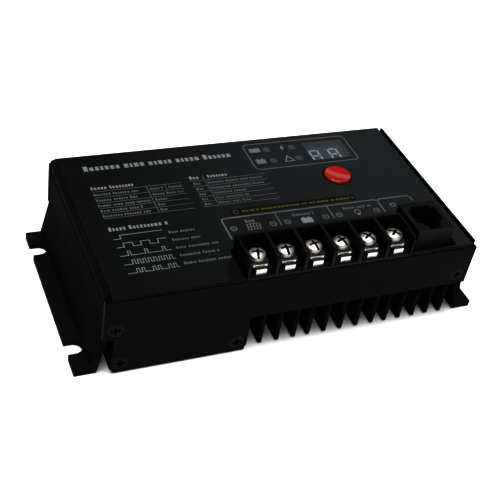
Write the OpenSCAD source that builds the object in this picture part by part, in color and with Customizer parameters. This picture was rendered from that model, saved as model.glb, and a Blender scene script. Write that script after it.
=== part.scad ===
// Solar charge controller: a black extruded heat-sink case with end plates, a labelled top panel,
// a six-way screw terminal block, a modular signal socket, a two-digit display and a push button.
// Millimetres. +X to the right, +Y to the back, +Z up. The origin is the centre of the base.

/* [Case] */
// Width over the outer walls, without the mounting flanges
body_w = 125.2; // [124:0.2:130]
// Depth over the outer faces of the end plates
body_d = 69; // [68:0.5:74]
// Height of the side walls' top lips
lip_z = 31.6; // [31:0.1:34]
// Thickness of the outer walls
wall_t = 1.3; // [1:0.1:1.6]
// Thickness of each end plate
plate_t = 1.5; // [1.2:0.1:2]
// Height of the end plates' top edge
plate_top = 29.4; // [29:0.1:29.5]
// Radius of the outer corner of each top lip
lip_r = 1; // [0.6:0.1:1.2]

/* [Mounting flanges] */
// Width over the flanges
flange_w = 140.8; // [139:0.2:144]
// Thickness of the flanges
flange_t = 2.2; // [1.8:0.1:3]
// Distance between slot centres across the case
slot_x = 136.2; // [135:0.1:137]
// Distance between slot centres from front to back
slot_y = 47; // [40:0.5:52]
// Radius of each open slot's round end, for an M5 screw
slot_r = 2.95; // [2.6:0.05:3.1]

/* [Heat sink] */
// Underside of the raised web that carries the fins
web_z = 14; // [13.5:0.1:14.2]
// Thickness of the raised web
web_t = 2.6; // [2:0.1:2.8]
// Thickness of one fin
fin_t = 1.25; // [1:0.05:1.5]
// Height of the fins' lower edges above the base
fin_z = 0.3; // [0.2:0.1:1]
// Right-hand outer face of the deep tray
tray_right = -14.6; // [-15:0.1:-14]
// Thickness of the tray's floor and inner walls
tray_t = 1.8; // [1.5:0.1:2]

/* [Top panel] */
// Underside of the panel
panel_z = 29.8; // [29.7:0.1:29.9]
// Thickness of the panel sheet
panel_t = 1; // [0.8:0.1:1.2]
// Thickness of the printed film on the panel
film_t = 0.2; // [0.15:0.05:0.3]
// Width of the panel
panel_w = 122; // [121.4:0.1:122.2]

/* [Terminal block] */
// Distance between neighbouring terminals
pitch = 9.5; // [9.5:0.5:9.5]
// Centre of the row of terminals
block_x = 9; // [8.8:0.1:9.2]
// Height of the barriers' top edges
barrier_z = 37.6; // [37:0.1:39]
// Thickness of one barrier
barrier_t = 1.1; // [0.9:0.1:1.3]
// How far each terminal screw can be backed out
screw_lift = 3; // [2:0.5:3]

/* [Button] */
// Diameter of the button cap
cap_d = 9.6; // [9:0.1:9.8]
// Travel of the button
cap_travel = 0.5; // [0.3:0.1:0.5]

/* [Hidden] */
$fn = 48;
eps = 0.01;

// Case
wall_x = body_w / 2;
wall_in = wall_x - wall_t;
plate_w = body_w + 0.4;
core_d = body_d - 2 * plate_t;          // length of the extruded profile
groove_z = 27;                          // side groove under each lip
groove_h = 0.8;
groove_d = 0.4;
leg_top = 15.3;                         // where the wall turns outwards into the leg
leg_out = 2.7;                          // how far the leg steps outwards
leg_in = 63.5;                          // inner face of the leg at the base
slot_shift = 0.5;                       // how far the slots sit behind the middle
bridge_t = 2;                           // shelf between the left wall and the tray
tray_left = -59.4;                      // left outer face of the tray
web_top = web_z + web_t;
boss_r = 2.7;
core_r = 1.25;                          // threaded core of an M3 hole
shank_r = 1.2;
head_set = 0.2;                         // how far each countersunk head sits below the plate's face
sink_h = 1.4;                           // depth of the plate's countersink
SCREW_SPOTS = [[-59, 17.6], [-56.7, 3.7], [-18.9, 3.7], [59, 17.6]];
// Fins stand in three groups: [first fin's centre, distance between fins, fins]
FIN_GROUPS = [[-9.9, 6, 3], [7.25, 5.97, 5], [36.15, 5.44, 5]];

// Panel and film
panel_top = panel_z + panel_t;
film_top = panel_top + film_t;
rib_z = 27.5;                           // snap ribs inside the walls
rib_h = 0.8;
rib_w = 0.8;
block_cut = [-19.9, 37.9, -21.3];       // cut-out for the block: left, right, back
jack_cut = [40.4, 54.5, -15.8];         // cut-out for the socket: left, right, back
strip_w = 0.7;                          // panel strip in front of the socket
window = [34.8, 24.3, 15.8, 10.8];      // display window: centre x, centre y, width, height
LED_X = [12.5, 22.3];
LED_Y = [27.7, 21.1];
lens_r = 1.4;

// Board
board_z = 21.6;
board_t = 1.6;
board_top = board_z + board_t;
board_x = 60.4;                         // half width
board_y = 32;                           // half depth
TALL_SPOTS = [[-50.5, -28.5], [-50.5, 28.5]];
SHORT_SPOTS = [[-10.5, -17.5], [-10.5, 28.5], [52, -12], [52, 8.5]];
hex_r = 3;

// Terminal block
block_w = 6 * pitch;
block_front = -34.3;
block_back = -21.6;
plinth_front = -32.8;                   // the body behind the front plate
ledge_low = 29.6;                       // underside of the ledge, above the front plate
ledge_z = 30.7;
deck_front = -32.2;
deck_z = 32;                            // floor under the contacts
contact_t = 0.7;
contact_z = deck_z + contact_t;
air = 0.03;                             // between parts that move on each other
clamp_z = contact_z + air;
clamp_t = 0.7;
head_z = clamp_z + clamp_t + air;
head_r = 2.6;
head_h = 2.6;
stud_r = 1.5;
stud_len = 4 + screw_lift;
collar_r = 2.1;                         // threaded collar under each contact
leg_w = 2;                              // solder leg behind each contact
leg_y = -24.8;
screw_y = -28.7;
function term_x(i) = block_x + (i - 2.5) * pitch;

// Socket
jack_x = 47.45;
jack_w = 13.3;
jack_front = -30.9;
jack_back = -16.2;
jack_z = 36.2;
plug_w = 10;
plug_back = -19.8;
plug_front = -26.3;
comb = [6.7, -18.4];                    // width and back edge of the recess for the contact wires
latch_1 = [6.4, -28];                   // width and front edge of the first latch step
latch_2 = [4.2, -30];                   // width and front edge of the second latch step
plug_floor = 24.8;

// Button
btn = [31.5, 8.8];
cap_top = 31.8;
cap_gap = 0.3;
flange_low = 28.4;
flange_h = 0.7;
stem_w = 3.8;
fit = 0.04;

// Display
face_z = 28.6;
seg_t = 0.3;
digit_h = 7.1;
digit_w = 4.1;
bar = 0.85;
digit_gap = 7.5;

// Parts under the board
coil_c = [-34, 16.5];
coil_mid = 9.2;                         // centreline radius of the toroid
coil_z = 15.6;
CAN_SPOTS = [[-43.5, -22], [-29, -22], [-43.5, -7.8], [-29, -7.8]];
can_r = 6.2;
can_z = 4.2;
TRANSISTOR_X = [0.5, 11.5, 22.5, 33.5, 44.5];
pad_t = 0.25;
tab_y = 27;                             // tab hole's place, front to back

// ---------- small helpers ----------

// Runs a 2D shape, drawn as x and z, along Y over the given stretch
module along_y(y0, y1) {
    translate([0, y1, 0]) rotate([90, 0, 0]) linear_extrude(y1 - y0) children();
}

module box(x0, x1, y0, y1, z0, z1) {
    translate([x0, y0, z0]) cube([x1 - x0, y1 - y0, z1 - z0]);
}

module rounded(w, h, r) {
    translate([-w / 2 + r, -h / 2]) square([w - 2 * r, h]);
    translate([-w / 2, -h / 2 + r]) square([w, h - 2 * r]);
    for (x = [-1, 1], y = [-1, 1]) translate([x * (w / 2 - r), y * (h / 2 - r)]) circle(r);
}

// Cross recess, cut downwards from z = 0
module cross_recess(d, w, depth) {
    for (a = [0, 90]) rotate(a) translate([-d / 2, -w / 2, -depth]) cube([d, w, depth + 1]);
    rotate(45) translate([-w * 0.7, -w * 0.7, -depth - 0.25]) cube([1.4 * w, 1.4 * w, depth + 1]);
}

// ---------- extruded case ----------

// Right-hand wall, leg and flange; mirrored for the left
module wall_section() {
    slope = leg_out / (leg_top - flange_t);
    difference() {
        union() {
            translate([wall_in, web_z]) square([wall_t, lip_z - lip_r - web_z]);
            translate([wall_in, web_z]) square([wall_t - lip_r, lip_z - web_z]);
            intersection() {
                translate([wall_x - lip_r, lip_z - lip_r]) circle(lip_r);
                translate([wall_in, web_z]) square([wall_t, lip_z]);
            }
            polygon([
                [leg_in, 0], [wall_x + leg_out + slope * flange_t, 0],
                [wall_x, leg_top], [wall_in, leg_top + 1], [leg_in - slope * web_z, web_z]
            ]);
            translate([leg_in, 0]) square([flange_w / 2 - leg_in, flange_t]);
            translate([wall_in - rib_w, rib_z]) square([rib_w + 0.2, rib_h]);
        }
        translate([wall_x - groove_d, groove_z]) square([1, groove_h]);
    }
}

module profile_section() {
    wall_section();
    mirror([1, 0]) wall_section();
    // deep tray
    translate([tray_left, 0]) square([tray_right - tray_left, tray_t]);
    translate([tray_left, 0]) square([tray_t, web_z + bridge_t]);
    translate([tray_right - tray_t, 0]) square([tray_t, web_top]);
    translate([-wall_x + 0.2, web_z]) square([wall_x + tray_left + tray_t - 0.2, bridge_t]);
    // raised web and fins
    translate([tray_right - tray_t, web_z]) square([wall_in - tray_right + tray_t + 0.2, web_t]);
    for (g = FIN_GROUPS, i = [0 : g[2] - 1])
        translate([g[0] + i * g[1] - fin_t / 2, fin_z]) square([fin_t, web_z - fin_z + eps]);
    for (s = SCREW_SPOTS) translate(s) circle(boss_r);
}

module heatsink_profile() {
    color([0.09, 0.09, 0.1]) difference() {
        along_y(-core_d / 2, core_d / 2) difference() {
            profile_section();
            for (s = SCREW_SPOTS) translate(s) circle(core_r);
        }
        for (sx = [-1, 1], sy = [-1, 1]) translate([sx * slot_x / 2, slot_shift + sy * slot_y / 2, -1]) {
            cylinder(r = slot_r, h = flange_t + 2);
            translate([sx > 0 ? 0 : -10, -slot_r, 0]) cube([10, 2 * slot_r, flange_t + 2]);
        }
        for (x = TRANSISTOR_X) translate([x, tab_y, web_z - 1]) cylinder(r = core_r, h = web_t + 2);
    }
}

// ---------- end plates ----------

module plate_outline() {
    step_x = tray_right - 1.4;
    low_z = 0.3;
    corner = 1;
    difference() {
        union() {
            translate([-plate_w / 2, web_z + 0.4]) square([plate_w, plate_top - web_z - 0.4]);
            translate([step_x, web_z]) square([plate_w / 2 - step_x, 1]);
            translate([tray_left, low_z + corner]) square([step_x - tray_left, web_z]);
            translate([tray_left + corner, low_z]) square([step_x - tray_left - corner, web_z]);
            translate([tray_left + corner, low_z + corner]) circle(corner);
        }
        for (s = SCREW_SPOTS) translate(s) circle(1.6);
    }
}

// Front plate; the back plate is its mirror image across the middle of the case
module end_plate() {
    difference() {
        along_y(-body_d / 2, -body_d / 2 + plate_t) plate_outline();
        for (s = SCREW_SPOTS)
            translate([s[0], -body_d / 2 - eps, s[1]]) rotate([-90, 0, 0])
                cylinder(r1 = 2.9, r2 = 1.6, h = sink_h);
    }
}

module front_plate() { color([0.07, 0.07, 0.075]) end_plate(); }
module back_plate() { color([0.07, 0.07, 0.075]) mirror([0, 1, 0]) end_plate(); }

// Countersunk M3 screw lying along +Y, its head's face at y = 0
module plate_screw() {
    rotate([-90, 0, 0]) difference() {
        union() {
            cylinder(r1 = 2.65, r2 = 1.5, h = sink_h - head_set);
            cylinder(r = 1.5, h = plate_t - head_set - 0.02);
            cylinder(r = shank_r, h = 9);
        }
        rotate([180, 0, 0]) cross_recess(3, 0.75, 0.9);
    }
}

module plate_screws() {
    for (s = SCREW_SPOTS) translate([s[0], -body_d / 2 + head_set, s[1]]) plate_screw();
}

module front_plate_screws() { color([0.1, 0.1, 0.11]) plate_screws(); }
module back_plate_screws() { color([0.1, 0.1, 0.11]) mirror([0, 1, 0]) plate_screws(); }

// ---------- top panel and film ----------

// Every opening through the panel; grow widens them for the film
module panel_cuts(grow) {
    edge = -body_d / 2;
    translate([block_cut[0] - grow, edge - 1])
        square([block_cut[1] - block_cut[0] + 2 * grow, block_cut[2] - edge + 1 + grow]);
    translate([jack_cut[0] - grow, edge + strip_w])
        square([jack_cut[1] - jack_cut[0] + 2 * grow, jack_cut[2] - edge - strip_w + grow]);
    translate([block_cut[1], edge + strip_w])
        square([jack_cut[0] - block_cut[1], block_cut[2] - edge - strip_w + grow]);
    translate(btn) circle(cap_d / 2 + cap_gap + grow / 2);
    for (x = LED_X, y = LED_Y) translate([x, y]) circle(lens_r + 0.03);
}

module top_panel() {
    foot = 0.6;
    hook_len = 9;
    color([0.06, 0.065, 0.07]) {
        translate([0, 0, panel_z]) linear_extrude(panel_t) difference() {
            square([panel_w, body_d], center = true);
            panel_cuts(0);
            translate([window[0], window[1]]) rounded(window[2] - 0.8, window[3] - 0.8, 0.4);
        }
        // snap hooks under the panel's long edges
        for (s = [-1, 1], y = [-26, -2, 22]) {
            x_in = wall_in - rib_w - 1.1;
            mirror([s < 0 ? 1 : 0, 0, 0]) {
                box(x_in, x_in + 0.8, y, y + hook_len, rib_z - 1.2, panel_z + eps);
                box(x_in, x_in + 0.8 + foot, y, y + hook_len, rib_z - 1.2, rib_z - 0.2);
            }
        }
    }
}

module label_film() {
    color([0.05, 0.055, 0.06]) translate([0, 0, panel_top]) linear_extrude(film_t) difference() {
        square([panel_w - 0.4, body_d - 0.3], center = true);
        panel_cuts(0.3);
        translate([window[0], window[1]]) rounded(window[2], window[3], 0.4);
    }
}

module display_window() {
    color([0.5, 0.53, 0.55, 0.5]) translate([window[0], window[1], panel_top])
        linear_extrude(film_t - 0.02) rounded(window[2] - 0.06, window[3] - 0.06, 0.4);
}

module status_lenses() {
    color([0.75, 0.77, 0.78]) for (x = LED_X, y = LED_Y) translate([x, y, 0]) {
        translate([0, 0, panel_z - 0.1]) cylinder(r = lens_r, h = film_top - panel_z + 0.1);
        translate([0, 0, panel_z - 0.8]) cylinder(r = 1.9, h = 0.75);
    }
}

module status_leds() {
    color([0.85, 0.86, 0.85]) for (x = LED_X, y = LED_Y) translate([x, y, board_top]) {
        cylinder(r = 1.9, h = 1);
        cylinder(r = 1.5, h = 3.6);
        translate([0, 0, 3.6]) intersection() {
            sphere(1.5);
            translate([-2, -2, 0]) cube([4, 4, 4]);
        }
    }
}

// ---------- board and its fixings ----------

module main_board() {
    color([0.05, 0.25, 0.13]) difference() {
        box(-board_x, board_x, -board_y, board_y, board_z, board_top);
        for (s = concat(TALL_SPOTS, SHORT_SPOTS))
            translate([s[0], s[1], board_z - 1]) cylinder(r = 1.6, h = board_t + 2);
    }
}

module board_screws() {
    color([0.7, 0.7, 0.72]) for (s = concat(TALL_SPOTS, SHORT_SPOTS))
        translate([s[0], s[1], board_top]) difference() {
            union() {
                cylinder(r = 2.75, h = 1.8);
                translate([0, 0, -4.6]) cylinder(r = shank_r, h = 5);
            }
            translate([0, 0, 1.8]) cross_recess(3, 0.8, 0.9);
        }
}

module standoff(z0) {
    difference() {
        translate([0, 0, z0]) cylinder(r = hex_r, h = board_z - z0, $fn = 6);
        translate([0, 0, board_z - 4]) cylinder(r = core_r, h = 5);
    }
}

module tall_standoffs() {
    color([0.78, 0.66, 0.35]) for (s = TALL_SPOTS) translate([s[0], s[1], 0]) standoff(tray_t);
}

module short_standoffs() {
    color([0.78, 0.66, 0.35]) for (s = SHORT_SPOTS) translate([s[0], s[1], 0]) standoff(web_top);
}

// ---------- display ----------

// Seven bars of one digit, centred on the origin
module digit_bars() {
    gap = 0.12;
    half = digit_h / 2;
    len = half - bar - 2 * gap;
    for (y = [-half + bar / 2, 0, half - bar / 2])
        translate([0, y]) square([digit_w - 2 * bar - 2 * gap, bar], center = true);
    for (sx = [-1, 1], sy = [-1, 1])
        translate([sx * (digit_w - bar) / 2, sy * (half / 2 - bar / 4 + gap)])
            square([bar, len + bar / 2], center = true);
}

module all_bars() {
    translate([window[0], window[1]]) for (s = [-1, 1]) translate([s * digit_gap / 2, 0]) {
        digit_bars();
        translate([digit_w / 2 + 0.95, -digit_h / 2 + 0.4]) circle(0.4);
    }
}

module digit_display() {
    color([0.38, 0.4, 0.42]) difference() {
        translate([window[0], window[1], board_top + 0.4]) linear_extrude(face_z - board_top - 0.4)
            square([15.6, 10.4], center = true);
        translate([0, 0, face_z - seg_t]) linear_extrude(1) all_bars();
    }
}

module display_segments() {
    color([0.85, 0.87, 0.88]) translate([0, 0, face_z - seg_t]) linear_extrude(seg_t) all_bars();
}

module display_pins() {
    color([0.75, 0.75, 0.76])
        for (sy = [-1, 1], i = [-2 : 2])
            translate([window[0] + i * 2.54, window[1] + sy * 3.8, board_top])
                cylinder(r = 0.25, h = 0.4);
}

// ---------- terminal block ----------

// Side outline of one barrier, drawn as y and z
module barrier_outline() {
    front_r = 2;
    translate([block_front, ledge_low]) square([block_back - block_front, barrier_z - front_r - ledge_low]);
    translate([block_front + front_r, ledge_low])
        square([block_back - block_front - front_r, barrier_z - ledge_low]);
    translate([block_front + front_r, barrier_z - front_r]) circle(front_r);
}

module barrier(x0, t) {
    translate([x0, 0, 0]) rotate([90, 0, 90]) linear_extrude(t) barrier_outline();
}

module terminal_block() {
    left = block_x - block_w / 2;
    right = block_x + block_w / 2;
    back_wall = 1;
    well_r = collar_r + 0.05;
    color([0.05, 0.05, 0.055]) difference() {
        union() {
            box(left, right, plinth_front, block_back, board_top, ledge_z);
            box(left, right, block_front, plinth_front + eps, ledge_low, ledge_z);
            box(left, right, deck_front, block_back, ledge_z - eps, deck_z);
            box(left, right, block_back - back_wall, block_back, deck_z - eps, barrier_z);
            barrier(left, barrier_t / 2);
            barrier(right - barrier_t / 2, barrier_t / 2);
            for (i = [1 : 5]) barrier(left + i * pitch - barrier_t / 2, barrier_t);
        }
        for (i = [0 : 5]) translate([term_x(i), screw_y, head_z - stud_len - 1])
            cylinder(r = well_r, h = stud_len + 1);
        for (i = [0 : 5]) translate([term_x(i), 0, 0])
            box(-leg_w / 2 - 0.1, leg_w / 2 + 0.1, leg_y - 0.05, leg_y + contact_t + 0.05, board_top - 1, deck_z + 1);
    }
}

// Contact plates, each with a threaded collar, a tab bent down at the front and a leg to the board
module terminal_contacts() {
    half_w = 3.3;
    tab_w = 1.75;
    tab_front = deck_front - 1.3;
    color([0.83, 0.83, 0.8]) for (i = [0 : 5]) translate([term_x(i), 0, 0]) difference() {
        union() {
            box(-half_w, half_w, deck_front + 0.6, leg_y + contact_t, deck_z, contact_z);
            box(-tab_w, tab_w, tab_front, deck_front + 0.7, deck_z, contact_z);
            box(-tab_w, tab_w, tab_front, tab_front + contact_t, ledge_z, contact_z);
            box(-leg_w / 2, leg_w / 2, leg_y, leg_y + contact_t, board_top, contact_z);
            translate([0, screw_y, deck_z - 1.5]) cylinder(r = collar_r, h = 1.6);
        }
        translate([0, screw_y, deck_z - 2]) cylinder(r = stud_r + 0.06, h = 3);
    }
}

// Clamp washer with cut front corners
module clamp_plate(i) {
    half_w = 3.2;
    nose_w = 2.3;
    front = -32.2;
    back = -25.5;
    color([0.8, 0.8, 0.77]) translate([term_x(i), 0, clamp_z]) difference() {
        linear_extrude(clamp_t) polygon([
            [-nose_w, front], [nose_w, front], [half_w, front + 1.2], [half_w, back],
            [-half_w, back], [-half_w, front + 1.2]
        ]);
        translate([0, screw_y, -1]) cylinder(r = stud_r + 0.08, h = 3);
    }
}

module terminal_screw(i) {
    crown = 0.8;                        // how far the head's top is domed
    slot_w = 0.85;
    bevel = 0.3;
    ball_r = (head_r * head_r + crown * crown) / (2 * crown);
    color([0.82, 0.8, 0.72]) translate([term_x(i), screw_y, head_z]) difference() {
        union() {
            intersection() {
                union() {
                    cylinder(r1 = head_r - bevel, r2 = head_r, h = bevel);
                    translate([0, 0, bevel]) cylinder(r = head_r, h = head_h - bevel);
                }
                translate([0, 0, head_h - ball_r]) sphere(ball_r, $fn = 96);
            }
            translate([0, 0, -stud_len]) cylinder(r = stud_r, h = stud_len + eps);
        }
        translate([0, 0, head_h]) rotate(75 + 12 * i) {
            cross_recess(3.6, slot_w, 1.8);
            box(-head_r - 1, head_r + 1, -slot_w / 2, slot_w / 2, -1.1, 1);
        }
    }
}

module clamp_plate_1() { clamp_plate(0); }
module clamp_plate_2() { clamp_plate(1); }
module clamp_plate_3() { clamp_plate(2); }
module clamp_plate_4() { clamp_plate(3); }
module clamp_plate_5() { clamp_plate(4); }
module clamp_plate_6() { clamp_plate(5); }
module terminal_screw_1() { terminal_screw(0); }
module terminal_screw_2() { terminal_screw(1); }
module terminal_screw_3() { terminal_screw(2); }
module terminal_screw_4() { terminal_screw(3); }
module terminal_screw_5() { terminal_screw(4); }
module terminal_screw_6() { terminal_screw(5); }

// ---------- socket ----------

module signal_jack() {
    color([0.06, 0.06, 0.065]) translate([jack_x, 0, 0]) difference() {
        box(-jack_w / 2, jack_w / 2, jack_front, jack_back, board_top, jack_z);
        box(-plug_w / 2, plug_w / 2, plug_front, plug_back, plug_floor, jack_z + 1);
        box(-comb[0] / 2, comb[0] / 2, plug_back - eps, comb[1], plug_floor, jack_z + 1);
        box(-latch_1[0] / 2, latch_1[0] / 2, latch_1[1], plug_front + eps, plug_floor, jack_z + 1);
        box(-latch_2[0] / 2, latch_2[0] / 2, latch_2[1], latch_1[1] + eps, plug_floor + 3, jack_z + 1);
    }
}

// Contact wires along the back of the plug cavity
module jack_contacts() {
    wire_r = 0.22;
    wire_pitch = 1.02;
    color([0.85, 0.68, 0.3]) for (i = [-2.5 : 2.5])
        translate([jack_x + i * wire_pitch, comb[1] - 0.5, plug_floor]) cylinder(r = wire_r, h = 8.7);
}

// ---------- button and switch ----------

module button_cap() {
    dish_r = 24;
    dish = 0.35;
    edge = 0.6;
    color([0.8, 0.05, 0.1]) translate([btn[0], btn[1], 0]) difference() {
        union() {
            translate([0, 0, flange_low]) cylinder(r = cap_d / 2 + 1, h = flange_h);
            translate([0, 0, flange_low]) cylinder(r = cap_d / 2, h = cap_top - edge - flange_low);
            translate([0, 0, cap_top - edge]) rotate_extrude() {
                square([cap_d / 2 - edge, edge]);
                intersection() {
                    translate([cap_d / 2 - edge, 0]) circle(edge);
                    square([cap_d, edge]);
                }
            }
        }
        translate([0, 0, cap_top + dish_r - dish]) sphere(dish_r, $fn = 128);
        translate([0, 0, flange_low - 1]) linear_extrude(2.2)
            square([stem_w + 2 * fit, stem_w + 2 * fit], center = true);
    }
}

module switch_body() {
    half = 6;
    roof = 26.9;
    color([0.08, 0.08, 0.09]) translate([btn[0], btn[1], 0]) difference() {
        box(-half, half, -half, half, board_top, roof);
        translate([0, 0, board_top + 0.5]) cylinder(r = 4, h = roof - board_top - 1.2);
        translate([0, 0, board_top + 0.5]) cylinder(r = 3.35, h = roof);
    }
}

module switch_plunger() {
    base_z = 24.4;
    color([0.75, 0.75, 0.75]) translate([btn[0], btn[1], 0]) {
        translate([0, 0, base_z]) cylinder(r = 1.2, h = 1);
        translate([0, 0, base_z + 0.8]) cylinder(r = 3.7, h = 0.7);
        translate([0, 0, base_z + 1.4]) cylinder(r = 3.25, h = 2.1);
        translate([0, 0, base_z + 3.4]) linear_extrude(flange_low + 1 - base_z - 3.4)
            square([stem_w, stem_w], center = true);
    }
}

// Domed contact spring under the plunger
module switch_dome() {
    rise = cap_travel + 0.1;
    rim = 3;
    ball_r = (rim * rim + rise * rise) / (2 * rise);
    color([0.8, 0.8, 0.8]) translate([btn[0], btn[1], board_top + 0.5]) difference() {
        intersection() {
            translate([0, 0, rise - ball_r]) sphere(ball_r, $fn = 96);
            cylinder(r = rim + 1, h = rise + 1);
        }
        translate([0, 0, rise - 0.12 - ball_r]) sphere(ball_r, $fn = 96);
    }
}

// ---------- power parts under the board ----------

module inductor_core() {
    color([0.75, 0.7, 0.2]) translate([coil_c[0], coil_c[1], coil_z]) rotate_extrude($fn = 96)
        translate([coil_mid, 0]) square([8, 9.6], center = true);
}

module inductor_winding() {
    wire = 1.1;
    color([0.72, 0.36, 0.15]) translate([coil_c[0], coil_c[1], coil_z]) rotate(20)
        rotate_extrude(angle = 320, $fn = 96) translate([coil_mid, 0]) difference() {
            square([8.2 + 2 * wire, 9.8 + 2 * wire], center = true);
            square([8.2, 9.8], center = true);
        }
}

module capacitor_cans() {
    color([0.12, 0.16, 0.35]) for (s = CAN_SPOTS) translate([s[0], s[1], can_z])
        cylinder(r = can_r, h = 16.4);
}

module capacitor_bungs() {
    color([0.1, 0.1, 0.1]) for (s = CAN_SPOTS) translate([s[0], s[1], can_z + 16.4])
        cylinder(r = can_r - 0.6, h = board_z - can_z - 16.4);
}

module transistor_bodies() {
    color([0.1, 0.1, 0.1]) for (x = TRANSISTOR_X) translate([x, 0, 0]) {
        box(-5, 5, tab_y - 12.5, tab_y - 3.3, web_top + pad_t + 1.3, web_top + pad_t + 4.4);
    }
}

module transistor_tabs() {
    color([0.72, 0.73, 0.75]) for (x = TRANSISTOR_X) translate([x, 0, web_top + pad_t]) {
        difference() {
            box(-5, 5, tab_y - 12.4, tab_y + 3, 0, 1.3);
            translate([0, tab_y, -1]) cylinder(r = 1.8, h = 4);
        }
        for (i = [-1 : 1]) {
            box(i * 2.54 - 0.4, i * 2.54 + 0.4, tab_y - 15, tab_y - 12.5, 2.4, 2.9);
            box(i * 2.54 - 0.4, i * 2.54 + 0.4, tab_y - 15, tab_y - 14.5, 2.4, board_z - web_top - pad_t);
        }
    }
}

module transistor_screws() {
    color([0.7, 0.7, 0.72]) for (x = TRANSISTOR_X) translate([x, tab_y, web_top + pad_t + 1.3]) difference() {
        union() {
            cylinder(r = 2.75, h = 1.8);
            translate([0, 0, -3.6]) cylinder(r = shank_r, h = 4);
        }
        translate([0, 0, 1.8]) cross_recess(3, 0.8, 0.9);
    }
}

module insulating_pad() {
    color([0.75, 0.75, 0.7]) difference() {
        box(-5.6, 50.6, 13.6, 31.2, web_top, web_top + pad_t);
        for (x = TRANSISTOR_X) translate([x, tab_y, web_top - 1]) cylinder(r = 1.8, h = 3);
    }
}

// ---------- small parts on the board ----------

// Two bent resistance-wire bridges that measure the currents
module current_shunts() {
    color([0.7, 0.6, 0.5]) for (x = [-48, -40]) translate([x, -8, board_top]) rotate([90, 0, 0])
        rotate_extrude(angle = 180) translate([3.2, 0]) circle(0.6, $fn = 24);
}

module controller_chip() {
    color([0.08, 0.08, 0.08]) box(-34, -27, 2, 9, board_top, board_top + 1.4);
}

module driver_chips() {
    color([0.08, 0.08, 0.08]) for (y = [-20, -10]) box(-30, -25, y, y + 4, board_top, board_top + 1.5);
}

heatsink_profile();
front_plate();
back_plate();
front_plate_screws();
back_plate_screws();
top_panel();
label_film();
display_window();
status_lenses();
status_leds();
main_board();
board_screws();
tall_standoffs();
short_standoffs();
digit_display();
display_segments();
display_pins();
terminal_block();
terminal_contacts();
clamp_plate_1();
clamp_plate_2();
clamp_plate_3();
clamp_plate_4();
clamp_plate_5();
clamp_plate_6();
terminal_screw_1();
terminal_screw_2();
terminal_screw_3();
terminal_screw_4();
terminal_screw_5();
terminal_screw_6();
signal_jack();
jack_contacts();
button_cap();
switch_body();
switch_plunger();
switch_dome();
inductor_core();
inductor_winding();
capacitor_cans();
capacitor_bungs();
transistor_bodies();
transistor_tabs();
transistor_screws();
insulating_pad();
current_shunts();
controller_chip();
driver_chips();
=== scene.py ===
import math
import random
import bpy
import bmesh
from mathutils import Matrix, Vector


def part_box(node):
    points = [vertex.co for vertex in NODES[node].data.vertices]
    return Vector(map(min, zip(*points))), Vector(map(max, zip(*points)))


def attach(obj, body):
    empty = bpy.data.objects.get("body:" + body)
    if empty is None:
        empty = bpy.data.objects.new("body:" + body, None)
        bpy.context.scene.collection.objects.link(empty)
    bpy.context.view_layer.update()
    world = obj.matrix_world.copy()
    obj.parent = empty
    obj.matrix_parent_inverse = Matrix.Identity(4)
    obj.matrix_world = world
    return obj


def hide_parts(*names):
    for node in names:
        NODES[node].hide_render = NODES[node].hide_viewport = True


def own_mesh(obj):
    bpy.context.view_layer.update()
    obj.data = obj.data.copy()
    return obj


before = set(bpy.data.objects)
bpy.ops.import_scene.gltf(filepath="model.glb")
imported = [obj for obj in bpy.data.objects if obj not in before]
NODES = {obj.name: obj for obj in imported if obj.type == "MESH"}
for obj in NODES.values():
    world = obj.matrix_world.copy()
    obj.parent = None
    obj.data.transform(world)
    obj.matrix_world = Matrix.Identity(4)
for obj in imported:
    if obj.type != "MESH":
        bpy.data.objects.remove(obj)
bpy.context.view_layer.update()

# New meshes are drawn in millimetres; materials, lights and the camera are in the frame's metres
MM = 0.001
TERMINALS = range(1, 7)


# ---------------------------------------------------------------- materials
MATERIAL = {}
COOL = (0.92, 1.0, 1.04)
BUMP_DEPTH = 0.0002

# Noise values at which a material is at its darkest and lightest, and at its smoothest and roughest
ALL_DARK = 0.12
ALL_LIGHT = 0.42
SMOOTHEST = 0.3
ROUGHEST = 0.7


def grey(value, tint=(1.0, 1.0, 1.0)):
    return tuple(value * part for part in tint)


def noise(nodes, link, vector, scale, detail):
    texture = nodes.new("ShaderNodeTexNoise")
    texture.inputs["Scale"].default_value = scale
    texture.inputs["Detail"].default_value = detail
    link.new(vector, texture.inputs["Vector"])
    return texture.outputs["Fac"]


def product(nodes, link, one, two):
    both = nodes.new("ShaderNodeMath")
    both.operation = "MULTIPLY"
    link.new(one, both.inputs[0])
    link.new(two, both.inputs[1])
    return both.outputs["Value"]


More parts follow.
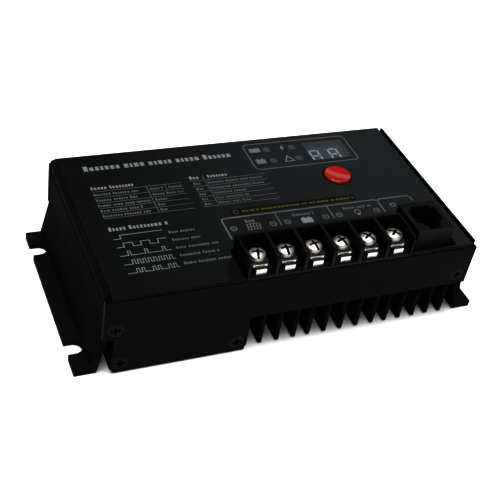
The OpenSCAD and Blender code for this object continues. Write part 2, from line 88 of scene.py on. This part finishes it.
def node_material(name, dark, light, rough, vary=0.05, metallic=0.0, grain=900, bump=0.1,
                  bump_grain=1800, specular=0.5, alpha=1.0, patch=90):
    """A material whose colour, roughness and surface vary with noise: a fine grain and broader patches.

    The noise scales are in waves per metre. The grain is one number, or one for each axis.
    """
    material = bpy.data.materials.new(name)
    material.use_nodes = True
    nodes, link = material.node_tree.nodes, material.node_tree.links
    shader = nodes["Principled BSDF"]
    shader.inputs["Metallic"].default_value = metallic
    shader.inputs["Specular IOR Level"].default_value = specular
    shader.inputs["Alpha"].default_value = alpha

    place = nodes.new("ShaderNodeTexCoord").outputs["Object"]
    stretch = nodes.new("ShaderNodeMapping")
    stretch.inputs["Scale"].default_value = grain if isinstance(grain, tuple) else (grain, grain, grain)
    link.new(place, stretch.inputs["Vector"])
    fine = noise(nodes, link, stretch.outputs["Vector"], 1.0, 6.0)
    broad = noise(nodes, link, place, patch, 3.0)

    colours = nodes.new("ShaderNodeValToRGB")
    first, last = colours.color_ramp.elements
    first.position, first.color = ALL_DARK, (*dark, 1)
    last.position, last.color = ALL_LIGHT, (*light, 1)
    link.new(product(nodes, link, fine, broad), colours.inputs["Fac"])
    link.new(colours.outputs["Color"], shader.inputs["Base Color"])

    dullness = nodes.new("ShaderNodeMapRange")
    dullness.inputs["From Min"].default_value = SMOOTHEST
    dullness.inputs["From Max"].default_value = ROUGHEST
    dullness.inputs["To Min"].default_value = rough - vary
    dullness.inputs["To Max"].default_value = rough + vary
    link.new(fine, dullness.inputs["Value"])
    link.new(dullness.outputs["Result"], shader.inputs["Roughness"])

    if bump:
        relief = nodes.new("ShaderNodeBump")
        relief.inputs["Strength"].default_value = bump
        relief.inputs["Distance"].default_value = BUMP_DEPTH
        link.new(noise(nodes, link, place, bump_grain, 2.0), relief.inputs["Height"])
        link.new(relief.outputs["Normal"], shader.inputs["Normal"])
    MATERIAL[name] = material


# Black case, plates, plastics and screws
node_material("extrusion", grey(0.005), grey(0.009), 0.68, 0.08, grain=(900, 12, 900), bump=0.12,
              bump_grain=2400, specular=0.01, patch=60)
node_material("plate", grey(0.002), grey(0.0038, COOL), 0.5, grain=700, bump=0.25,
              bump_grain=2600, specular=0.05)
node_material("panel", grey(0.003), grey(0.006), 0.5, grain=700, bump=0.2,
              bump_grain=2600, specular=0.05)
node_material("film", grey(0.0045), grey(0.0065, COOL), 0.32, 0.03, grain=800, bump=0.18,
              bump_grain=3200, specular=0.2)
node_material("block", grey(0.003), grey(0.006), 0.42, 0.08, grain=500, bump=0.3,
              bump_grain=2200, specular=0.12)
node_material("jack", grey(0.005), grey(0.010), 0.45, 0.06, grain=500, bump=0.25,
              bump_grain=2200, specular=0.08)
node_material("black_screw", grey(0.004), grey(0.008), 0.45, 0.08, bump=0.3, bump_grain=2400, specular=0.08)
node_material("chip", grey(0.012), grey(0.03), 0.5, 0.06, bump=0.4, bump_grain=3000)
node_material("rubber", grey(0.02), grey(0.035), 0.7, 0.06, grain=600, bump=0.4)


def metal(name, dark, light, rough, vary, grain, bump):
    node_material(name, dark, light, rough, vary, 1.0, grain, bump)


metal("zinc", (0.5, 0.5, 0.52), (0.68, 0.69, 0.71), 0.3, 0.08, 1500, 0.15)
metal("nickel", (0.42, 0.40, 0.35), (0.56, 0.54, 0.48), 0.5, 0.05, 700, 0.05)
metal("tin", (0.80, 0.81, 0.80), (0.92, 0.92, 0.91), 0.42, 0.06, 900, 0.05)
# This gold is painted much darker than gold: painted shade for the contacts deep in the socket
metal("shaded_gold", (0.22, 0.15, 0.06), (0.3, 0.21, 0.09), 0.3, 0.08, 1300, 0.1)
metal("brass", (0.55, 0.42, 0.16), (0.72, 0.58, 0.28), 0.32, 0.08, 1200, 0.15)
metal("copper", (0.42, 0.14, 0.04), (0.62, 0.24, 0.08), 0.3, 0.08, (200, 200, 1500), 0.2)
metal("shunt", (0.42, 0.33, 0.26), (0.58, 0.48, 0.4), 0.35, 0.08, 1200, 0.2)

# Button, lights, display and window
node_material("red", (0.25, 0.010, 0.008), (0.31, 0.015, 0.012), 0.13, 0.03, grain=300,
              bump=0.03, bump_grain=900, specular=0.3)
node_material("lens", (0.024, 0.027, 0.029), (0.038, 0.042, 0.044), 0.4, grain=500)
node_material("led", (0.6, 0.62, 0.6), (0.78, 0.8, 0.78), 0.2, 0.04, grain=500, bump=0.05)
node_material("display", (0.05, 0.06, 0.066), (0.066, 0.078, 0.085), 0.5, grain=700, bump=0.2)
node_material("segment", (0.75, 0.82, 0.84), (0.86, 0.9, 0.92), 0.4, grain=500)
node_material("window", (0.055, 0.066, 0.074), (0.075, 0.088, 0.097), 0.2, 0.03, grain=300,
              bump=0.03, bump_grain=900, specular=0.1, alpha=0.36)

# Parts inside the case
node_material("board", (0.01, 0.07, 0.03), (0.02, 0.12, 0.055), 0.4, 0.08, grain=350,
              bump=0.15, bump_grain=1500)
node_material("plunger", (0.42, 0.42, 0.41), (0.55, 0.55, 0.54), 0.45, grain=500)
node_material("core", (0.42, 0.36, 0.05), (0.6, 0.52, 0.1), 0.55, 0.08, grain=800,
              bump=0.5, bump_grain=1500)
node_material("sleeve", (0.02, 0.03, 0.10), (0.035, 0.05, 0.16), 0.3, grain=400, bump=0.08)
node_material("pad", (0.36, 0.36, 0.33), (0.48, 0.48, 0.45), 0.75, 0.06, grain=700, bump=0.4)

# Printing inks, from the brightest to the faintest, the olive strip and its marks, and the floor
node_material("print", (0.12, 0.133, 0.135), (0.17, 0.187, 0.19), 0.6)
node_material("print_mid", (0.08, 0.09, 0.092), (0.12, 0.132, 0.135), 0.6)
node_material("print_dim", (0.055, 0.064, 0.064), (0.09, 0.10, 0.10), 0.6)
node_material("print_faint", (0.045, 0.052, 0.054), (0.07, 0.08, 0.083), 0.6)
node_material("olive", (0.0052, 0.0055, 0.0006), (0.008, 0.0084, 0.001), 0.55, specular=0.08)
node_material("olive_print", (0.056, 0.057, 0.02), (0.082, 0.083, 0.032), 0.6, specular=0.1)
node_material("floor", grey(0.86), grey(0.9), 0.9, 0.02, grain=600, bump=0, specular=0.1, patch=3)


# ---------------------------------------------------------------- materials that change over a piece
def masked(name, base, colour, mask):
    """A copy of the base material with another colour where mask(nodes, link) gives 1."""
    material = MATERIAL[base].copy()
    material.name = name
    nodes, link = material.node_tree.nodes, material.node_tree.links
    base_colour = nodes["Principled BSDF"].inputs["Base Color"]
    mix = nodes.new("ShaderNodeMix")
    mix.data_type = "RGBA"
    mix.inputs["B"].default_value = (*colour, 1)
    link.new(base_colour.links[0].from_socket, mix.inputs["A"])
    link.new(mask(nodes, link), mix.inputs["Factor"])
    link.new(mix.outputs["Result"], base_colour)
    MATERIAL[name] = material


def from_to(nodes, link, value, start, end):
    """0 where the value is at start, 1 where it is at end."""
    ramp = nodes.new("ShaderNodeMapRange")
    ramp.inputs["From Min"].default_value = start
    ramp.inputs["From Max"].default_value = end
    link.new(value, ramp.inputs["Value"])
    return ramp.outputs["Result"]


def along_y(start, end):
    """A mask that turns on between two places along the case's depth."""
    def mask(nodes, link):
        place = nodes.new("ShaderNodeTexCoord").outputs["Object"]
        parts = nodes.new("ShaderNodeSeparateXYZ")
        link.new(place, parts.inputs["Vector"])
        return from_to(nodes, link, parts.outputs["Y"], start, end)
    return mask


def distance(nodes, link, vector, point):
    away = nodes.new("ShaderNodeVectorMath")
    away.operation = "DISTANCE"
    away.inputs[1].default_value = point
    link.new(vector, away.inputs[0])
    return away.outputs["Value"]


# A terminal screw's domed top is part of a ball
SCREW_TOP = 0.03606
SCREW_HEAD_R = 0.0026
SCREW_CROWN = 0.0008
SCREW_BALL_R = (SCREW_HEAD_R ** 2 + SCREW_CROWN ** 2) / (2 * SCREW_CROWN)

# The painted shade in the recess starts this far below the domed top or in from the head's side, and is full
# at the deeper depth
RECESS_SHALLOW = 0.00006
RECESS_RIM = 0.0001
RECESS_DEEP = 0.0003


def screw_recess(x, y):
    """A mask for the painted shade on the walls and floor of a screw's recess: below the domed top and near
    the axis.
    """
    def mask(nodes, link):
        place = nodes.new("ShaderNodeTexCoord").outputs["Object"]
        from_centre = distance(nodes, link, place, (x, y, SCREW_TOP - SCREW_BALL_R))
        below_top = from_to(nodes, link, from_centre,
                            SCREW_BALL_R - RECESS_SHALLOW, SCREW_BALL_R - RECESS_DEEP)
        flat = nodes.new("ShaderNodeVectorMath")
        flat.operation = "MULTIPLY"
        flat.inputs[1].default_value = (1, 1, 0)
        link.new(place, flat.inputs[0])
        from_axis = distance(nodes, link, flat.outputs["Vector"], (x, y, 0))
        near_axis = from_to(nodes, link, from_axis,
                            SCREW_HEAD_R - RECESS_RIM, SCREW_HEAD_R - RECESS_DEEP)
        return product(nodes, link, below_top, near_axis)
    return mask


# Each terminal screw's nickel gets painted shade, dark brown, in its cross recess
for i in TERMINALS:
    screw_low, screw_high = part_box(f"terminal_screw_{i}")
    screw_x, screw_y = [(low + high) / 2 for low, high in zip(screw_low, screw_high)][:2]
    masked(f"screw_nickel_shaded_recess_{i}", "nickel", (0.07, 0.05, 0.03), screw_recess(screw_x, screw_y))

# The socket's front face is painted lighter: painted light from the front. The contacts and clamp plates are
# bright only at their front edge; behind it they are painted dark: painted shade on the contacts, a painted
# dark reflection on the clamp plates
masked("socket", "jack", (0.02, 0.021, 0.022), along_y(-0.0307, -0.0308))
masked("contact", "tin", (0.06, 0.065, 0.06), along_y(-0.0334, -0.0332))
masked("clamp", "tin", (0.10, 0.10, 0.09), along_y(-0.03215, -0.0320))

FINISH = {
    "heatsink_profile": "extrusion", "front_plate": "plate", "back_plate": "plate",
    "front_plate_screws": "black_screw", "back_plate_screws": "black_screw", "top_panel": "panel",
    "label_film": "film", "display_window": "window", "status_lenses": "lens", "status_leds": "led",
    "main_board": "board", "board_screws": "zinc", "tall_standoffs": "brass", "short_standoffs": "brass",
    "digit_display": "display", "display_segments": "segment", "display_pins": "tin",
    "terminal_block": "block", "terminal_contacts": "contact", "signal_jack": "socket",
    "jack_contacts": "shaded_gold", "button_cap": "red", "switch_body": "chip", "switch_plunger": "plunger",
    "inductor_core": "core", "inductor_winding": "copper", "capacitor_cans": "sleeve",
    "capacitor_bungs": "rubber", "transistor_bodies": "chip", "transistor_tabs": "tin",
    "transistor_screws": "zinc", "insulating_pad": "pad", "current_shunts": "shunt",
    "controller_chip": "chip", "driver_chips": "chip", "switch_dome": "zinc",
}
for i in TERMINALS:
    FINISH[f"clamp_plate_{i}"] = "clamp"
    FINISH[f"terminal_screw_{i}"] = f"screw_nickel_shaded_recess_{i}"
for node, finish in FINISH.items():
    for material_slot in NODES[node].material_slots:
        material_slot.material = MATERIAL[finish]


# ---------------------------------------------------------------- small rounded edges, which catch the light
EDGE_WIDTH = {
    "heatsink_profile": 0.2, "front_plate": 0.2, "back_plate": 0.2, "top_panel": 0.15, "label_film": 0.05,
    "terminal_block": 0.18, "terminal_contacts": 0.12, "signal_jack": 0.2, "front_plate_screws": 0.06,
    "back_plate_screws": 0.06, "status_lenses": 0.1,
}
SAME_POINT = 0.002
SHARP_EDGE = math.radians(38)
for i in TERMINALS:
    EDGE_WIDTH[f"clamp_plate_{i}"] = 0.12
    EDGE_WIDTH[f"terminal_screw_{i}"] = 0.1
for node, width in EDGE_WIDTH.items():
    weld = NODES[node].modifiers.new("weld", "WELD")
    weld.merge_threshold = SAME_POINT * MM
    edges = NODES[node].modifiers.new("edges", "BEVEL")
    edges.width = width * MM
    edges.segments = 2
    edges.limit_method = "ANGLE"
    edges.angle_limit = SHARP_EDGE
    edges.harden_normals = True
    edges.use_clamp_overlap = True


# ---------------------------------------------------------------- mesh helpers
MITRE_LIMIT = 0.4


def add_piece(name, bm, finish):
    """Makes an object that rides on the housing from a mesh in millimetres."""
    mesh = bpy.data.meshes.new(name)
    bmesh.ops.recalc_face_normals(bm, faces=bm.faces)
    bmesh.ops.scale(bm, vec=(MM, MM, MM), verts=bm.verts)
    bm.to_mesh(mesh)
    bm.free()
    piece = bpy.data.objects.new(name, mesh)
    bpy.context.scene.collection.objects.link(piece)
    mesh.materials.append(MATERIAL[finish])
    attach(piece, "housing")
    return piece


def prism(bm, points, z0, z1):
    low = [bm.verts.new((x, y, z0)) for x, y in points]
    high = [bm.verts.new((x, y, z1)) for x, y in points]
    bm.faces.new(high)
    bm.faces.new(low[::-1])
    for a in range(len(points)):
        b = (a + 1) % len(points)
        bm.faces.new((low[a], low[b], high[b], high[a]))


def bar(bm, x0, x1, y0, y1, z0, z1):
    prism(bm, [(x0, y0), (x1, y0), (x1, y1), (x0, y1)], z0, z1)


def stroke(bm, points, width, z0, z1, closed=False):
    """A line of that width along the points, with mitred corners."""
    p = [Vector(point) for point in points]
    count = len(p)
    left, right = [], []
    for a in range(count):
        before = p[a - 1] if (a > 0 or closed) else None
        after = p[(a + 1) % count] if (a < count - 1 or closed) else None
        arriving = (p[a] - before).normalized() if before is not None else None
        leaving = (after - p[a]).normalized() if after is not None else None
        arriving = arriving or leaving
        leaving = leaving or arriving
        normal_before = Vector((-arriving.y, arriving.x))
        normal_after = Vector((-leaving.y, leaving.x))
        mitre = (normal_before + normal_after).normalized()
        mitre *= (width / 2) / max(MITRE_LIMIT, mitre.dot(normal_before))
        left.append(p[a] + mitre)
        right.append(p[a] - mitre)
    for a in range(count if closed else count - 1):
        b = (a + 1) % count
        prism(bm, [tuple(left[a]), tuple(right[a]), tuple(right[b]), tuple(left[b])], z0, z1)


def on_circle(x, y, r, angle):
    return x + r * math.cos(math.radians(angle)), y + r * math.sin(math.radians(angle))


def arc(x, y, r, start, end, steps=8):
    return [on_circle(x, y, r, start + (end - start) * i / steps) for i in range(steps + 1)]


def rounded_box(x0, x1, y0, y1, r):
    return (arc(x1 - r, y0 + r, r, -90, 0) + arc(x1 - r, y1 - r, r, 0, 90)
            + arc(x0 + r, y1 - r, r, 90, 180) + arc(x0 + r, y0 + r, r, 180, 270))


# ---------------------------------------------------------------- the spring under the push button
# The domed spring is pressed flatter as the button goes down; a copy made of rings stands for the solid one.
# The step between its corners is in degrees
SPRING_GAUGE = 0.12
SPRING_RINGS = 10
SPRING_STEP = 6


def dome_profile(rim, ball, drop, order):
    """Radius and height of a ball's cap at each ring, where the ball's centre is drop below the rim."""
    radii = [rim * k / SPRING_RINGS for k in order]
    return [(r, math.sqrt(ball ** 2 - r ** 2) - drop) for r in radii]


spring_low, spring_high = [Vector(corner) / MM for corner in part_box("switch_dome")]
spring_mid = (spring_low + spring_high) / 2
spring_rim = (spring_high.x - spring_low.x) / 2
spring_rise = spring_high.z - spring_low.z
spring_ball = (spring_rim ** 2 + spring_rise ** 2) / (2 * spring_rise)
outer_drop = spring_ball - spring_rise
inner_drop = outer_drop + SPRING_GAUGE
inner_rim = math.sqrt(spring_ball ** 2 - inner_drop ** 2)
profile = (dome_profile(spring_rim, spring_ball, outer_drop, range(1, SPRING_RINGS + 1))
           + dome_profile(inner_rim, spring_ball, inner_drop, range(SPRING_RINGS, 0, -1)))

spring_mesh = bmesh.new()
rings = [[spring_mesh.verts.new((*on_circle(spring_mid.x, spring_mid.y, r, angle), spring_low.z + height))
          for angle in range(0, 360, SPRING_STEP)] for r, height in profile]
top = spring_mesh.verts.new((spring_mid.x, spring_mid.y, spring_high.z))
under = spring_mesh.verts.new((spring_mid.x, spring_mid.y, spring_high.z - SPRING_GAUGE))
for a in range(len(rings[0])):
    b = (a + 1) % len(rings[0])
    spring_mesh.faces.new((top, rings[0][a], rings[0][b]))
    spring_mesh.faces.new((under, rings[-1][b], rings[-1][a]))
    for ring, next_ring in zip(rings, rings[1:]):
        spring_mesh.faces.new((ring[a], next_ring[a], next_ring[b], ring[b]))
spring = add_piece("switch_spring", spring_mesh, "zinc")
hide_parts("switch_dome")
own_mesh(spring)


# ---------------------------------------------------------------- printing on the film
FILM_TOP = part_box("label_film")[1][2] / MM
INK_TOP = FILM_TOP + 0.025
SECOND_INK_TOP = INK_TOP + 0.01
BOLD_GAP = 0.2
rng = random.Random(11)


def printed(name, finish, draw):
    """A piece of printing, whose mesh is made by draw."""
    bm = bmesh.new()
    draw(bm)
    add_piece(name, bm, finish)


def block(bm, x0, x1, y0, y1):
    bar(bm, x0, x1, y0, y1, FILM_TOP, INK_TOP)


def line(bm, points, width, closed=False):
    stroke(bm, points, width, FILM_TOP, INK_TOP, closed)


def marks(bm, x0, x1, y, height, gap=0.22):
    """A row of plain blocks where a line of words would be."""
    x = x0
    first = True
    left_in_word = rng.randint(4, 9)
    while x < x1 - 0.3 * height:
        width = min(height * rng.uniform(0.34, 0.56), x1 - x)
        tall = height if first else height * rng.choice((0.72, 0.72, 0.78))
        block(bm, x, x + width, y - height / 2, y - height / 2 + tall)
        first = False
        x += width + gap * height
        left_in_word -= 1
        if left_in_word == 0:
            x += 0.4 * height
            left_in_word = rng.randint(4, 9)
            first = rng.random() < 0.3


def title(bm):
    marks(bm, -53.3, -1.2, 27.0, 2.7, BOLD_GAP)


def headings(bm):
    marks(bm, -53.7, -39.2, 16.3, 1.7, BOLD_GAP)
    marks(bm, -20.3, -16.6, 16.3, 1.6, BOLD_GAP)
    marks(bm, -14.0, -5.6, 16.3, 1.6, BOLD_GAP)
    marks(bm, -53.7, -34.4, -4.6, 1.9, BOLD_GAP)


# Two tables side by side share the heights of their rules
RULE_Y = (14.5, 11.4, 8.6, 5.9, 3.3, 0.7)
RULE_HALF = 0.11
TABLE_BOTTOM = 0.6


def table_rules(bm):
    for y in RULE_Y:
        for left, right in ((-53.7, -23.6), (-20.5, 6.3)):
            block(bm, left, right, y - RULE_HALF, y + RULE_HALF)
    block(bm, -35.85, -35.6, TABLE_BOTTOM, 14.4)
    block(bm, -29.6, -29.4, 11.5, 14.4)
    block(bm, -15.65, -15.4, TABLE_BOTTOM, 17.0)


def small_rows(bm):
    """The tables' rows and the captions of the charging curves."""
    first_ends = (-38.6, -40.2, -36.6, -40.0, -38.2)
    second_ends = (-30.6, -24.6, -30.5, -32.3, -32.2)
    last_ends = (4.8, 4.2, -3.2, -3.0, -3.6)
    middles = [(above + below) / 2 for above, below in zip(RULE_Y, RULE_Y[1:])]
    for y, first_end, second_end, last_end in zip(middles, first_ends, second_ends, last_ends):
        marks(bm, -53.6, first_end, y, 1.25)
        marks(bm, -34.9, second_end, y, 1.2)
        marks(bm, -19.9, -17.6, y, 1.2)
        marks(bm, -14.9, last_end, y, 1.2)
    marks(bm, -28.6, -24.2, middles[0], 1.2)
    for end, y in ((-27.0, -9.3), (-27.0, -13.0), (-22.0, -16.7), (-23.2, -20.3), (-20.4, -24.0)):
        marks(bm, -36.0, end, y, 1.25)


CURVE_START = -53.6
CURVE_END = -37.6
CURVE_WIDTH = 0.28
DENSE_WIDTH = 0.9 * CURVE_WIDTH


def pulses(low, high, edges):
    """A square wave that starts low and changes level at each edge."""
    points = [(CURVE_START, low)]
    level, other = low, high
    for x in edges:
        points += [(x, level), (x, other)]
        level, other = other, level
    points.append((CURVE_END, level))
    return points


def curves(bm):
    """Charging curves: one step, long pulses, spikes, dense pulses and groups of pulses."""
    line(bm, pulses(-9.5, -7.8, (-51.2,)), CURVE_WIDTH)
    line(bm, pulses(-13.4, -11.6, (-51.2, -48.4, -45.8, -43.0, -40.4)), CURVE_WIDTH)
    line(bm, pulses(-17.3, -15.4, (-51.0, -50.2, -45.7, -44.9, -40.2, -39.4)), CURVE_WIDTH)
    line(bm, pulses(-21.3, -19.5, [-50.8 + 0.82 * i for i in range(16)]), DENSE_WIDTH)
    groups = [start + 0.8 * i for start in (-50.6, -45.6, -40.8) for i in range(4)]
    line(bm, pulses(-25.2, -23.4, groups), DENSE_WIDTH)


def display_frame(bm):
    """The frame round the lights and the digits."""
    line(bm, rounded_box(4.5, 44.3, 16.8, 31.5, 1.7), 0.55, closed=True)


def status_icons(bm):
    """A panel, a battery, a bolt and a triangle."""
    block(bm, 6.0, 10.0, 26.6, 29.0)
    block(bm, 6.0, 9.6, 19.9, 22.3)
    block(bm, 6.6, 7.4, 22.3, 22.8)
    block(bm, 8.2, 9.0, 22.3, 22.8)
    bolt = [(19.3, 29.4), (18.6, 28.1), (19.4, 28.1), (17.9, 26.0), (18.4, 27.6), (17.6, 27.6), (18.9, 29.4)]
    prism(bm, bolt, FILM_TOP, INK_TOP)
    line(bm, [(16.7, 19.8), (20.1, 19.8), (18.4, 22.9)], 0.5, closed=True)


def strip(bm):
    block(bm, -13.2, 32.0, -5.2, -2.2)


def strip_marks(bm):
    """A ring and a row of blocks over the olive strip."""
    stroke(bm, arc(-11.4, -3.8, 0.85, 0, 330, 12), 0.3, INK_TOP, SECOND_INK_TOP)
    x = -9.2
    end = 31.4
    while x < end - 0.2:
        width = min(rng.uniform(0.7, 1.5), end - x)
        bar(bm, x, x + width, -4.25, -3.4, INK_TOP, SECOND_INK_TOP)
        x += width + rng.choice((0.25, 0.25, 0.7))


BRACKET_TOP = -6.3
BRACKET_WIDTH = 0.62
DIVIDER_WIDTH = 0.8 * BRACKET_WIDTH


def brackets(bm):
    """One bracket over the three pairs of terminals, with dividers, and one over the socket."""
    terminals_left = arc(-16.4, BRACKET_TOP - 1.2, 1.2, 180, 90)
    terminals_right = arc(37.6, BRACKET_TOP - 1.4, 1.4, 90, 0)
    line(bm, [(-17.6, -16.4)] + terminals_left + terminals_right + [(39.0, -13.2)], BRACKET_WIDTH)
    for x in (1.0, 20.0):
        line(bm, [(x, BRACKET_TOP - 0.2), (x, -13.0)], DIVIDER_WIDTH)
    socket_left = arc(40.4, BRACKET_TOP - 1.4, 1.4, 180, 90)
    socket_right = arc(50.3, BRACKET_TOP - 1.5, 1.5, 90, 0)
    line(bm, socket_left + socket_right + [(51.8, -9.3)], BRACKET_WIDTH)


def signs(bm):
    """A ringed plus and minus for each pair of terminals, and the pairs' captions."""
    y = -11.7
    for plus_x, minus_x in ((-15.2, -1.6), (3.5, 17.3), (22.3, 36.4)):
        for x in (plus_x, minus_x):
            line(bm, arc(x, y, 1.0, 0, 345, 16), 0.42, closed=True)
            block(bm, x - 0.55, x + 0.55, y - 0.17, y + 0.17)
        block(bm, plus_x - 0.17, plus_x + 0.17, y - 0.55, y + 0.55)
    marks(bm, -10.2, -6.6, -8.9, 1.7)
    marks(bm, 6.5, 14.3, -8.8, 1.35)
    marks(bm, 25.0, 35.5, -8.8, 1.35)


def pictures(bm):
    """A solar panel, a battery, a lamp and a small square."""
    for i in range(5):
        x = -10.6 + 1.05 * i
        line(bm, [(x, -13.2), (x + 0.5, -10.3)], 0.24)
    for y in (-13.1, -11.8, -10.4):
        line(bm, [(-10.7, y), (-5.9, y)], 0.2)
    prism(bm, rounded_box(8.4, 12.4, -13.4, -10.9, 0.35), FILM_TOP, INK_TOP)
    block(bm, 9.1, 9.9, -10.9, -10.5)
    block(bm, 10.9, 11.7, -10.9, -10.5)
    line(bm, arc(29.3, -11.2, 1.0, -50, 230, 12), 0.28)
    block(bm, 28.8, 29.8, -12.9, -12.1)
    line(bm, rounded_box(42.7, 44.3, -10.8, -9.3, 0.2), 0.28, closed=True)


# The rows of blocks draw on one random stream, so the order of these lines matters
printed("print_title", "print", title)
printed("print_headings", "print", headings)
printed("print_rules", "print_dim", table_rules)
printed("print_small_rows", "print_dim", small_rows)
printed("print_curves", "print", curves)
printed("print_display_frame", "print_faint", display_frame)
printed("print_status_icons", "print_mid", status_icons)
printed("print_strip", "olive", strip)
printed("print_strip_marks", "olive_print", strip_marks)
printed("print_brackets", "print_dim", brackets)
printed("print_signs", "print_dim", signs)
printed("print_pictures", "print", pictures)


# ---------------------------------------------------------------- floor, lights and camera
FLOOR_REACH = 3.0
FLOOR_Z = -0.0002
scene = bpy.context.scene

floor_mesh = bpy.data.meshes.new("floor")
floor_grid = bmesh.new()
bmesh.ops.create_grid(floor_grid, x_segments=1, y_segments=1, size=FLOOR_REACH)
floor_grid.to_mesh(floor_mesh)
floor_grid.free()
floor_mesh.materials.append(MATERIAL["floor"])
floor = bpy.data.objects.new("floor", floor_mesh)
floor.location = (0, 0, FLOOR_Z)
scene.collection.objects.link(floor)

world = bpy.data.worlds.new("studio")
world.use_nodes = True
background = world.node_tree.nodes["Background"]
background.inputs["Color"].default_value = (1, 1, 1, 1)
background.inputs["Strength"].default_value = 0.08
scene.world = world
scene.view_settings.view_transform = "Standard"
scene.view_settings.gamma = 0.68


def soft_light(name, place, aim, size, power, colour=(1, 1, 1)):
    """A rectangular light at a place, turned towards its aim."""
    light = bpy.data.lights.new(name, "AREA")
    light.shape = "RECTANGLE"
    light.size, light.size_y = size
    light.energy = power
    light.color = colour
    lamp = bpy.data.objects.new(name, light)
    lamp.location = place
    lamp.rotation_euler = (Vector(aim) - Vector(place)).to_track_quat("-Z", "Y").to_euler()
    scene.collection.objects.link(lamp)


soft_light("overhead", (-0.1, -0.1, 1.7), (0.05, 0.05, 0), (1.0, 1.0), 56)
soft_light("back_strip", (0.953, 0.799, 0.839), (0.03, 0.01, 0.032), (1.3, 0.3), 2.8, (0.82, 0.94, 1.0))
soft_light("front_low", (-0.45, -1.3, 0.32), (0, -0.03, 0.02), (1.2, 0.5), 9)

# The camera looks from the left of the front, down on the case, and is rolled a little
turn, tilt, roll = [math.radians(angle) for angle in (29.126, 39.04, 11.262)]
ahead = Vector((math.sin(turn) * math.cos(tilt), math.cos(turn) * math.cos(tilt), -math.sin(tilt)))
level = Vector((math.cos(turn), -math.sin(turn), 0))
upright = level.cross(ahead)
right = math.cos(roll) * level + math.sin(roll) * upright
up = right.cross(ahead)
camera_data = bpy.data.cameras.new("camera")
camera_data.lens = 71.37
camera_data.sensor_width = 36
camera_data.clip_start = 0.02
camera = bpy.data.objects.new("camera", camera_data)
camera_place = Matrix((right, up, -ahead)).transposed().to_4x4()
camera_place.translation = Vector((-0.12887, -0.22861, 0.22245))
camera.matrix_world = camera_place
scene.collection.objects.link(camera)
scene.camera = camera
